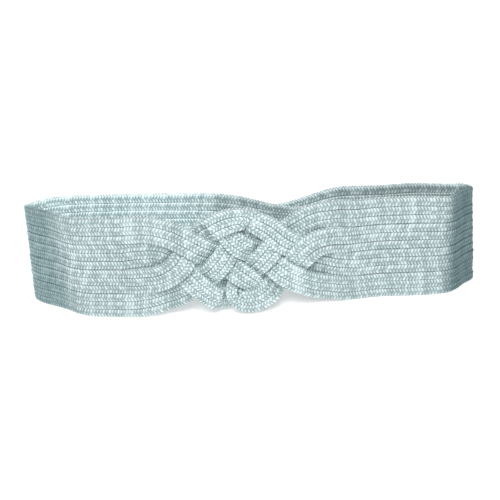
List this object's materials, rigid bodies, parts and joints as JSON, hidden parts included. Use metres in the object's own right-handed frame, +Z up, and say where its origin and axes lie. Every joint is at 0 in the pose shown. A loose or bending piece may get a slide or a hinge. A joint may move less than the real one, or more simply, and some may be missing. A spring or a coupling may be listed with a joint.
{
  "type": "silver braided cord belt",
  "caption": "Wide soft belt of silver metallic braided cords laid side by side, with a flat interlaced knot at the front and a hidden back closure, standing on its edge.",
  "frame": {"origin": "middle of the bounding box's bottom, on the surface that the belt's lower edge stands on", "axes": "+X to the right along the belt's front, +Y from the knot towards the back closure, +Z up across the band's width"},
  "size_m": [0.3342, 0.0656, 0.0787],
  "materials": {
    "silver_cord": "braided silver metallic thread, soft sparkle",
    "end_tab": "woven silver-grey tape, folded and stitched",
    "hook_steel": "plain pressed steel"
  },
  "bodies": {
    "root": {"left_upper_loop": "silver_cord", "left_lower_loop": "silver_cord", "right_upper_loop": "silver_cord", "right_lower_loop": "silver_cord", "left_end_tab": "end_tab", "right_end_tab": "end_tab", "hidden_hook": "hook_steel"}
  },
  "joints": []
}
